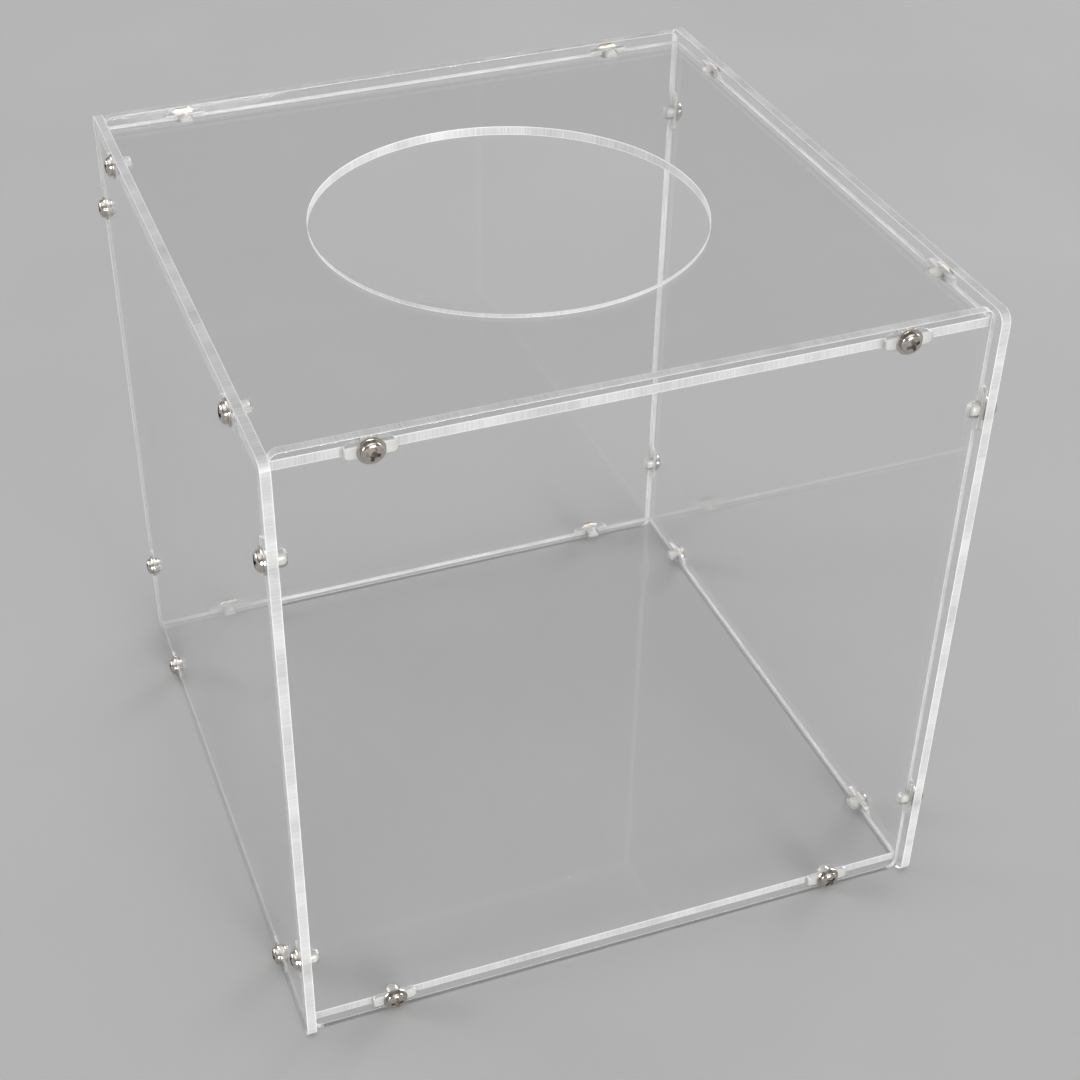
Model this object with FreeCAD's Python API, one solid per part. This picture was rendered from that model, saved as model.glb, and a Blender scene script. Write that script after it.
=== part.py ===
import FreeCAD, Part
import math
import os

# Clear acrylic donation box: six sheets held at the edges by moulded connectors and M3 screws.
#
# Units are millimetres. +Z is up, the front is towards -Y, and the origin is at the centre of the
# rectangle the box stands on. The side walls are the outermost sheets. The front and back walls
# stand between them, set in by one sheet thickness. The top and bottom sheets lie inside all four
# walls, one sheet thickness away from their rims.

os.makedirs("parts", exist_ok=True)

V = FreeCAD.Vector

# Sheets
SHEET = 2.8                     # thickness, sold as 3 mm acrylic
INNER = 188.8                   # clear square between the walls
FIT_GAP = 0.1                   # between a sheet's edge and the wall that it butts against
SIDE_DEPTH = 200.0              # side walls, front to back
WALL_HEIGHT = 200.0             # all four walls
SET_BACK = 2.8                  # front and back walls behind the side walls' edges; top sheet below the rims
SIDE_CORNER_R = 3.5
FRONT_CORNER_R = 2.8
TOP_CORNER_R = 1.0
HAND_HOLE_D = 111.5
CUT_EDGE_R = 0.15               # round that the laser's heat leaves on each long cut edge

# Connector positions
SPACING = 140.0                 # between the two connectors of one edge
AXIS_IN = SET_BACK + SHEET / 2  # screw axis from the wall's edge: the butting sheet's mid-plane

# Moulded connector
BAR_LENGTH = 13.0               # along the edge
BAR_HEIGHT = 3.6                # across the butting sheet
BAR_CORNER_R = 1.2
BAR_EDGE_R = 0.3                # round between the bar's sides and its two flat faces
BOSS_D = 4.2
BOSS_LENGTH = 2.8               # beyond the wall's inner face
BOSS_EDGE_R = 1.2               # the boss's closed end is rounded
BORE_D = 3.05
BORE_DEPTH = 5.05               # blind, from the bar's outer face

# Clearances
SLOT_GAP = 0.05                 # all round the bar in its wall slot
NOTCH_GAP = 0.05                # each side of the boss in its notch
END_GAP = 0.15                  # between a boss's end and the end of its notch
NOTCH_CORNER_R = 1.1            # at the notch's closed end
SEAT_GAP = 0.02                 # under a screw's flange
OVERRUN = 1.0                   # how far a cutting solid runs past the faces that it opens
TINY = 1e-5                     # a length taken as nothing when edges are picked

# M3 x 5 pan washer-head screw with a cross recess
SHANK_D = 3.0
SHANK_LENGTH = 5.0
TIP_CHAMFER = 0.4
FLANGE_D = 7.2
FLANGE_T = 0.5
FLANGE_CHAMFER = 0.1
HEAD_D = 5.6
HEAD_HEIGHT = 2.2
HEAD_CORNER_R = 0.85            # between the head's side and its crown
CROWN_R = 8.0
RECESS_LENGTH = 3.6
RECESS_WIDTH = 0.95
RECESS_DEPTH = 1.3
RECESS_CORE_D = 2.0
TURN_STEP = 37.0                # each screw stopped at its own angle
RECESS_SYMMETRY = 90.0

NOTCH_DEPTH = BOSS_LENGTH + END_GAP

OUT = {
    "front": V(0, -1, 0),
    "back": V(0, 1, 0),
    "left": V(-1, 0, 0),
    "right": V(1, 0, 0),
}


def placed(shape, origin, along, outward):
    """The shape with its local x along an edge, its local z out of the wall, moved to origin."""
    across = outward.cross(along)
    matrix = FreeCAD.Matrix(
        along.x, across.x, outward.x, origin.x,
        along.y, across.y, outward.y, origin.y,
        along.z, across.z, outward.z, origin.z,
        0, 0, 0, 1)
    return shape.transformed(matrix)


def rounded_bar(length, height, radius, z_low, z_high):
    """A rounded rectangle centred on the local z axis, from z_low to z_high."""
    bar = Part.makeBox(length, height, z_high - z_low, V(-length / 2, -height / 2, z_low))
    return bar.makeFillet(radius, [e for e in bar.Edges if e.BoundBox.ZLength > TINY])


def sheet(low, high, thin_axis, radius):
    """A flat sheet between two corners, its outline's corners and then its long edges rounded."""
    size = high.sub(low)
    box = Part.makeBox(size.x, size.y, size.z, low)
    extent = {"x": "XLength", "y": "YLength", "z": "ZLength"}[thin_axis]
    across = [e for e in box.Edges if getattr(e.BoundBox, extent) > TINY]
    rounded = box.makeFillet(radius, across)
    rims = [e for e in rounded.Edges if getattr(e.BoundBox, extent) < TINY]
    return rounded.makeFillet(CUT_EDGE_R, rims)


def joint_points():
    """Every connector: name, wall, butting sheet, point on the wall's outer face, edge direction."""
    half = SPACING / 2
    levels = {"bottom": AXIS_IN, "top": WALL_HEIGHT - AXIS_IN}
    front_face = SIDE_DEPTH / 2 - SET_BACK
    side_face = INNER / 2 + SHEET
    upright = SIDE_DEPTH / 2 - AXIS_IN
    points = []
    for wall, sign in (("front", -1), ("back", 1)):
        for level, z in levels.items():
            butting = level
            for side, x in (("left", -half), ("right", half)):
                name = wall + "_" + level + "_" + side
                points.append((name, wall, butting, V(x, sign * front_face, z), V(1, 0, 0)))
    for wall, sign in (("left", -1), ("right", 1)):
        for level, z in levels.items():
            butting = level
            for end, y in (("front", -half), ("back", half)):
                name = wall + "_" + level + "_" + end
                points.append((name, wall, butting, V(sign * side_face, y, z), V(0, 1, 0)))
        for end, y in (("front", -upright), ("back", upright)):
            for level, z in (("lower", WALL_HEIGHT / 2 - half), ("upper", WALL_HEIGHT / 2 + half)):
                name = wall + "_" + end + "_" + level
                points.append((name, wall, end, V(sign * side_face, y, z), V(0, 0, 1)))
    return points


def connector():
    """The moulded connector, its bar's outer face on z = 0 and its boss towards -z."""
    boss_end = V(0, 0, -SHEET - BOSS_LENGTH)
    bar = rounded_bar(BAR_LENGTH, BAR_HEIGHT, BAR_CORNER_R, -SHEET, 0)
    bar = bar.makeFillet(BAR_EDGE_R, [e for e in bar.Edges if e.BoundBox.ZLength < TINY])
    boss = Part.makeCylinder(BOSS_D / 2, BOSS_LENGTH, boss_end)
    boss = boss.makeFillet(BOSS_EDGE_R, [e for e in boss.Edges if e.BoundBox.ZMax < boss_end.z + TINY])
    bore = Part.makeCylinder(BORE_D / 2, BORE_DEPTH + OVERRUN, V(0, 0, -BORE_DEPTH))
    return bar.fuse(boss).cut(bore).removeSplitter()


def screw(turn):
    """The screw with its flange's underside on z = 0 and its head towards +z."""
    shank_r = SHANK_D / 2
    flange_r = FLANGE_D / 2
    head_r = HEAD_D / 2
    crown_z = HEAD_HEIGHT - CROWN_R
    corner = head_r - HEAD_CORNER_R
    rise = ((CROWN_R - HEAD_CORNER_R) ** 2 - corner ** 2) ** 0.5
    shoulder_z = crown_z + rise
    steepness = math.atan2(rise, corner)

    def on_crown(angle):
        return V(CROWN_R * math.cos(angle), 0, crown_z + CROWN_R * math.sin(angle))

    def on_corner(angle):
        return V(corner + HEAD_CORNER_R * math.cos(angle), 0, shoulder_z + HEAD_CORNER_R * math.sin(angle))

    outline = [
        V(0, 0, -SHANK_LENGTH),
        V(shank_r - TIP_CHAMFER, 0, -SHANK_LENGTH),
        V(shank_r, 0, -SHANK_LENGTH + TIP_CHAMFER),
        V(shank_r, 0, 0),
        V(flange_r, 0, 0),
        V(flange_r, 0, FLANGE_T - FLANGE_CHAMFER),
        V(flange_r - FLANGE_CHAMFER, 0, FLANGE_T),
        V(head_r, 0, FLANGE_T),
        V(head_r, 0, shoulder_z),
    ]
    top = V(0, 0, HEAD_HEIGHT)
    edges = [Part.makeLine(a, b) for a, b in zip(outline, outline[1:])]
    edges.append(Part.Arc(outline[-1], on_corner(steepness / 2), on_corner(steepness)).toShape())
    edges.append(Part.Arc(on_corner(steepness), on_crown((steepness + math.pi / 2) / 2), top).toShape())
    edges.append(Part.makeLine(top, outline[0]))
    body = Part.Face(Part.Wire(edges)).revolve(V(0, 0, 0), V(0, 0, 1), 360)
    floor_z = HEAD_HEIGHT - RECESS_DEPTH
    arm = Part.makeBox(RECESS_LENGTH, RECESS_WIDTH, RECESS_DEPTH + OVERRUN,
                       V(-RECESS_LENGTH / 2, -RECESS_WIDTH / 2, floor_z))
    other = arm.copy()
    other.rotate(V(0, 0, 0), V(0, 0, 1), RECESS_SYMMETRY)
    core = Part.makeCylinder(RECESS_CORE_D / 2, RECESS_DEPTH + OVERRUN, V(0, 0, floor_z))
    shape = body.cut(arm.fuse(other).fuse(core))
    shape.rotate(V(0, 0, 0), V(0, 0, 1), turn)
    return shape


def panels():
    """The six sheets before their slots, notches and hole are cut."""
    wall = INNER / 2
    half = wall - FIT_GAP
    depth = SIDE_DEPTH / 2
    face = depth - SET_BACK
    top_face = WALL_HEIGHT - SET_BACK
    return {
        "front": sheet(V(-half, -face, 0), V(half, -face + SHEET, WALL_HEIGHT), "y", FRONT_CORNER_R),
        "back": sheet(V(-half, face - SHEET, 0), V(half, face, WALL_HEIGHT), "y", FRONT_CORNER_R),
        "left": sheet(V(-wall - SHEET, -depth, 0), V(-wall, depth, WALL_HEIGHT), "x", SIDE_CORNER_R),
        "right": sheet(V(wall, -depth, 0), V(wall + SHEET, depth, WALL_HEIGHT), "x", SIDE_CORNER_R),
        "top": sheet(V(-half, -half, top_face - SHEET), V(half, half, top_face), "z", TOP_CORNER_R),
        "bottom": sheet(V(-half, -half, SET_BACK), V(half, half, SET_BACK + SHEET), "z", TOP_CORNER_R),
    }


NODE = {
    "front": "front_panel",
    "back": "back_panel",
    "left": "left_side_panel",
    "right": "right_side_panel",
    "top": "top_panel",
    "bottom": "bottom_panel",
}

solids = panels()
wall_slot = rounded_bar(BAR_LENGTH + 2 * SLOT_GAP, BAR_HEIGHT + 2 * SLOT_GAP,
                        BAR_CORNER_R + SLOT_GAP, -SHEET - OVERRUN, OVERRUN)
notch_width = BOSS_D + 2 * NOTCH_GAP
notch_end = -SHEET - NOTCH_DEPTH
edge_notch = Part.makeBox(notch_width, 2 * SHEET, NOTCH_DEPTH + SHEET / 2,
                          V(-notch_width / 2, -SHEET, notch_end))
edge_notch = edge_notch.makeFillet(NOTCH_CORNER_R, [
    e for e in edge_notch.Edges
    if e.BoundBox.YLength > TINY and e.BoundBox.ZMax < notch_end + TINY])
joints = joint_points()
screws = {wall: [] for wall in OUT}
plain_connector = connector()

for index, (name, wall, butting, point, along) in enumerate(joints):
    outward = OUT[wall]
    solids[wall] = solids[wall].cut(placed(wall_slot, point, along, outward))
    solids[butting] = solids[butting].cut(placed(edge_notch, point, along, outward))
    piece = placed(plain_connector, point, along, outward)
    piece.exportStep("parts/connector_" + name + ".step")
    turned = screw((index * TURN_STEP) % RECESS_SYMMETRY)
    screws[wall].append(placed(turned, point + outward * SEAT_GAP, along, outward))

hand_hole = Part.makeCylinder(HAND_HOLE_D / 2, WALL_HEIGHT, V(0, 0, WALL_HEIGHT / 2))
top = solids["top"].cut(hand_hole)
rims = [e for e in top.Edges if isinstance(e.Curve, Part.Circle) and e.Curve.Radius > HAND_HOLE_D / 2 - TINY]
solids["top"] = top.makeFillet(CUT_EDGE_R, rims)

for key, shape in solids.items():
    shape.exportStep("parts/" + NODE[key] + ".step")
for wall, group in screws.items():
    Part.makeCompound(group).exportStep("parts/" + wall + "_wall_screws.step")
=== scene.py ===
import math

import bpy
from mathutils import Matrix, Vector

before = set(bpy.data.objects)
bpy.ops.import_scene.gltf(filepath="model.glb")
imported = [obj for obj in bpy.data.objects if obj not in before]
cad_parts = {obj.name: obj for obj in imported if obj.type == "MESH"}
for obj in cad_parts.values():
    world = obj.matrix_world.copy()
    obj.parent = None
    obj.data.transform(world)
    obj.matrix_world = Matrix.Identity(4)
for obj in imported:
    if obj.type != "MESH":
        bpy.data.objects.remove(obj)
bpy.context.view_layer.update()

# Clear acrylic donation box on a plain pale floor. Metres, +Z up, the front towards -Y.

THIN_AXIS = {
    "front_panel": 1,
    "back_panel": 1,
    "left_side_panel": 0,
    "right_side_panel": 0,
    "top_panel": 2,
    "bottom_panel": 2,
}
FACE_SLOT = 0
EDGE_SLOT = 1

ACRYLIC_IOR = 1.49
BUMP_DEPTH = 0.0003
LINE_SCALE = 0.02               # the noise's scale across the thickness, which draws it out into lines
EDGE_GLOW = 0.3                 # share of the translucent shader in a cut edge
MOULDING_GLOW = 0.2             # and in a connector
# The painted highlight along both rims of a cut edge fades in between these two distances.
HIGHLIGHT_BAND_START = 0.36             # from the middle of the thickness, as a share of it
HIGHLIGHT_BAND_END = 0.46

FLOOR_HALF = 60.0
LIGHT_WIDTH = 24.0              # degrees across each lamp, as seen from the box
WORLD_STRENGTH = 2.0

CAMERA_AZIMUTH = -18.624        # degrees round from straight in front; negative is to the left
CAMERA_ELEVATION = 37.124
CAMERA_ROLL = -0.838
CAMERA_PLACE = (-0.17031, -0.45069, 0.44400)
LENS_MM = 64.12
SENSOR_MM = 36.0
LENS_SHIFT = (0.0831, 0.0109)


# Node helpers

def new_material(name):
    """An empty node material with its output node."""
    material = bpy.data.materials.new(name)
    material.use_nodes = True
    material.node_tree.nodes.clear()
    output = material.node_tree.nodes.new("ShaderNodeOutputMaterial")
    return material, material.node_tree, output


def node(tree, kind, inputs=None, **settings):
    """A node with its settings, and its inputs set by value or linked from a socket."""
    made = tree.nodes.new(kind)
    for key, value in settings.items():
        setattr(made, key, value)
    for key, value in (inputs or {}).items():
        if isinstance(value, bpy.types.NodeSocket):
            tree.links.new(value, made.inputs[key])
        else:
            made.inputs[key].default_value = value
    return made


def scaled_position(tree, scale):
    """Object coordinates in metres, times a scale for each axis."""
    place = node(tree, "ShaderNodeTexCoord")
    mapped = node(tree, "ShaderNodeMapping", {"Vector": place.outputs["Object"], "Scale": scale})
    return mapped.outputs["Vector"]


def noise(tree, vector, scale, detail=2.0, roughness=0.5):
    made = node(tree, "ShaderNodeTexNoise",
                {"Vector": vector, "Scale": scale, "Detail": detail, "Roughness": roughness})
    return made.outputs["Fac"]


def ramp(tree, factor, stops):
    """A grey or colour ramp; stops are (position, colour) pairs."""
    made = node(tree, "ShaderNodeValToRGB", {"Fac": factor})
    band = made.color_ramp
    while len(band.elements) < len(stops):
        band.elements.new(0.5)
    for element, (position, colour) in zip(band.elements, stops):
        element.position = position
        element.color = colour if len(colour) == 4 else (*colour, 1.0)
    return made.outputs["Color"]


def grey(value):
    return (value, value, value)


def lamps_pass(tree, shader, output, tint):
    """Lets lamp light and scattered light through, tinted, so that the floor is shaded only faintly."""
    path = node(tree, "ShaderNodeLightPath")
    passes = node(tree, "ShaderNodeMath", {
        0: path.outputs["Is Shadow Ray"],
        1: path.outputs["Is Diffuse Ray"],
    }, operation="MAXIMUM")
    clear = node(tree, "ShaderNodeBsdfTransparent", {"Color": (*tint, 1.0)})
    mix = node(tree, "ShaderNodeMixShader", {0: passes.outputs[0], 1: shader, 2: clear.outputs[0]})
    tree.links.new(mix.outputs[0], output.inputs["Surface"])


# Materials

def clear_face_material():
    """Polished acrylic: clear, with faint smudges."""
    material, tree, output = new_material("clear_acrylic_face")
    smudge = noise(tree, scaled_position(tree, (1.0, 1.0, 1.0)), 28.0, 4.0, 0.6)
    roughness = ramp(tree, smudge, [(0.45, grey(0.0)), (0.75, grey(0.05))])
    shader = node(tree, "ShaderNodeBsdfPrincipled", {
        "Base Color": (0.99, 0.99, 0.99, 1.0),
        "Roughness": roughness,
        "IOR": ACRYLIC_IOR,
        "Transmission Weight": 1.0,
    })
    lamps_pass(tree, shader.outputs[0], output, (0.97, 0.97, 0.97))
    return material


def cut_edge_material(thin_axis):
    """The laser-cut edge of a sheet: frosted grey and lined across the thickness, with a painted highlight
    that turns it near white towards both rims.
    """
    material, tree, output = new_material("cut_edge_" + "xyz"[thin_axis])
    stretch = [1.0, 1.0, 1.0]
    stretch[thin_axis] = LINE_SCALE
    along = scaled_position(tree, stretch)
    lines = noise(tree, along, 3000.0, 2.0, 0.6)
    patches = noise(tree, along, 90.0, 2.0)
    # Painted highlight: a mask that rises from the middle of the edge's thickness towards both rims.
    place = node(tree, "ShaderNodeTexCoord")
    split = node(tree, "ShaderNodeSeparateXYZ", {"Vector": place.outputs["Generated"]})
    offset = node(tree, "ShaderNodeMath", {0: split.outputs[thin_axis], 1: 0.5}, operation="SUBTRACT")
    distance = node(tree, "ShaderNodeMath", {0: offset.outputs[0]}, operation="ABSOLUTE")
    painted_border_highlight = ramp(tree, distance.outputs[0], [(HIGHLIGHT_BAND_START, grey(0.0)), (HIGHLIGHT_BAND_END, grey(1.0))])
    mixed = node(tree, "ShaderNodeMath", {0: lines, 1: patches}, operation="ADD")
    halved = node(tree, "ShaderNodeMath", {0: mixed.outputs[0], 1: 0.5}, operation="MULTIPLY")
    tone = ramp(tree, halved.outputs[0], [(0.38, (0.58, 0.58, 0.58)), (0.62, (0.80, 0.795, 0.785))])
    # Mixes near-white into the edge colour under the painted highlight mask.
    colour = node(tree, "ShaderNodeMix", {
        0: painted_border_highlight,
        6: tone,
        7: (0.97, 0.97, 0.965, 1.0),
    }, data_type="RGBA")
    bump = node(tree, "ShaderNodeBump", {"Height": lines, "Strength": 0.3, "Distance": BUMP_DEPTH})
    surface = node(tree, "ShaderNodeBsdfPrincipled", {
        "Base Color": colour.outputs[2],
        "Roughness": 0.3,
        "IOR": ACRYLIC_IOR,
        "Transmission Weight": 0.2,
        "Normal": bump.outputs[0],
    })
    glow = node(tree, "ShaderNodeBsdfTranslucent", {"Color": colour.outputs[2]})
    shader = node(tree, "ShaderNodeMixShader", {0: EDGE_GLOW, 1: surface.outputs[0], 2: glow.outputs[0]})
    lamps_pass(tree, shader.outputs[0], output, (0.55, 0.56, 0.56))
    return material


def moulding_material():
    """Moulded plastic, clear but milky, with a slight warm tint."""
    material, tree, output = new_material("clear_moulding")
    cloud = noise(tree, scaled_position(tree, (1.0, 1.0, 1.0)), 420.0, 3.0)
    colour = ramp(tree, cloud, [(0.3, (0.90, 0.885, 0.85)), (0.7, (0.98, 0.975, 0.955))])
    bump = node(tree, "ShaderNodeBump", {"Height": cloud, "Strength": 0.25, "Distance": BUMP_DEPTH})
    surface = node(tree, "ShaderNodeBsdfPrincipled", {
        "Base Color": colour,
        "Roughness": 0.12,
        "IOR": ACRYLIC_IOR,
        "Transmission Weight": 0.55,
        "Normal": bump.outputs[0],
    })
    glow = node(tree, "ShaderNodeBsdfTranslucent", {"Color": colour})
    shader = node(tree, "ShaderNodeMixShader", {0: MOULDING_GLOW, 1: surface.outputs[0], 2: glow.outputs[0]})
    lamps_pass(tree, shader.outputs[0], output, (0.6, 0.59, 0.57))
    return material


def nickel_material():
    """Bright nickel plate with fine handling marks."""
    material, tree, output = new_material("nickel_plate")
    marks = noise(tree, scaled_position(tree, (1.0, 1.0, 1.0)), 1500.0, 4.0, 0.6)
    roughness = ramp(tree, marks, [(0.35, grey(0.08)), (0.7, grey(0.20))])
    tone = ramp(tree, marks, [(0.3, (0.50, 0.465, 0.42)), (0.7, (0.68, 0.64, 0.585))])
    shader = node(tree, "ShaderNodeBsdfPrincipled", {
        "Base Color": tone,
        "Metallic": 1.0,
        "Roughness": roughness,
    })
    tree.links.new(shader.outputs[0], output.inputs["Surface"])
    return material


def floor_material():
    """Plain pale grey, very slightly uneven."""
    material, tree, output = new_material("pale_floor")
    cloud = noise(tree, scaled_position(tree, (1.0, 1.0, 1.0)), 6.0, 2.0)
    tone = ramp(tree, cloud, [(0.3, (0.41, 0.41, 0.405)), (0.7, (0.43, 0.43, 0.425))])
    shader = node(tree, "ShaderNodeBsdfPrincipled", {
        "Base Color": tone,
        "Roughness": 0.8,
        "Specular IOR Level": 0.1,
    })
    tree.links.new(shader.outputs[0], output.inputs["Surface"])
    return material


# The CAD nodes' finish

def set_materials(piece, *materials):
    piece.data.materials.clear()
    for material in materials:
        piece.data.materials.append(material)


def finish_panels():
    face = clear_face_material()
    edges = [cut_edge_material(axis) for axis in range(3)]
    for name, axis in THIN_AXIS.items():
        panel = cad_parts[name]
        set_materials(panel, face, edges[axis])
        for polygon in panel.data.polygons:
            flat = abs(polygon.normal[axis]) > 0.9
            polygon.material_index = FACE_SLOT if flat else EDGE_SLOT


def finish_small_parts():
    moulding = moulding_material()
    nickel = nickel_material()
    for name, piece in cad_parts.items():
        if name.startswith("connector_"):
            set_materials(piece, moulding)
        elif name.endswith("_screws"):
            set_materials(piece, nickel)


# Stage

def make_floor():
    half = FLOOR_HALF
    corners = [(-half, -half, 0), (half, -half, 0), (half, half, 0), (-half, half, 0)]
    mesh = bpy.data.meshes.new("floor")
    mesh.from_pydata(corners, [], [(0, 1, 2, 3)])
    floor = bpy.data.objects.new("floor", mesh)
    bpy.context.scene.collection.objects.link(floor)
    mesh.materials.append(floor_material())


def far_light(name, place, strength):
    """A soft source far away, the same all over the floor, aimed at the box from a place's direction."""
    light = bpy.data.lights.new(name, "SUN")
    light.angle = math.radians(LIGHT_WIDTH)
    light.energy = strength
    lamp = bpy.data.objects.new(name, light)
    lamp.location = place
    lamp.rotation_euler = lamp.location.to_track_quat("Z", "Y").to_euler()
    bpy.context.scene.collection.objects.link(lamp)


def make_world():
    """An even studio: it meets the floor in tone, and is bright low down and overhead but dim between."""
    world = bpy.data.worlds.new("studio")
    world.use_nodes = True
    tree = world.node_tree
    direction = node(tree, "ShaderNodeTexCoord")
    split = node(tree, "ShaderNodeSeparateXYZ", {"Vector": direction.outputs["Generated"]})
    glow = ramp(tree, split.outputs[2], [
        (0.0, (0.245, 0.245, 0.245)),
        (0.08, (0.42, 0.42, 0.43)),
        (0.24, (0.14, 0.14, 0.145)),
        (0.72, (0.14, 0.14, 0.145)),
        (1.0, (0.85, 0.85, 0.86)),
    ])
    background = tree.nodes["Background"]
    tree.links.new(glow, background.inputs["Color"])
    background.inputs["Strength"].default_value = WORLD_STRENGTH
    bpy.context.scene.world = world


def make_lights():
    far_light("front_light", (0.4, -2.3, 0.5), 2.9)
    far_light("left_light", (-2.0, 1.2, 0.5), 2.1)
    far_light("right_light", (2.4, 1.6, 0.6), 1.8)
    make_world()


def make_camera():
    """Above and to the left of the front, looking down at the box."""
    azimuth = math.radians(CAMERA_AZIMUTH)
    elevation = math.radians(CAMERA_ELEVATION)
    roll = math.radians(CAMERA_ROLL)
    forward = Vector((
        -math.sin(azimuth) * math.cos(elevation),
        math.cos(azimuth) * math.cos(elevation),
        -math.sin(elevation),
    ))
    right = Vector((math.cos(azimuth), math.sin(azimuth), 0.0))
    up = right.cross(forward)
    right_rolled = right * math.cos(roll) + up * math.sin(roll)
    up_rolled = up * math.cos(roll) - right * math.sin(roll)
    data = bpy.data.cameras.new("camera")
    data.sensor_width = SENSOR_MM
    data.lens = LENS_MM
    data.shift_x, data.shift_y = LENS_SHIFT
    camera = bpy.data.objects.new("camera", data)
    turn = Matrix((right_rolled, up_rolled, -forward)).transposed().to_4x4()
    camera.matrix_world = Matrix.Translation(CAMERA_PLACE) @ turn
    bpy.context.scene.collection.objects.link(camera)
    bpy.context.scene.camera = camera


finish_panels()
finish_small_parts()
make_floor()
make_lights()
make_camera()
bpy.context.scene.view_settings.view_transform = "Standard"
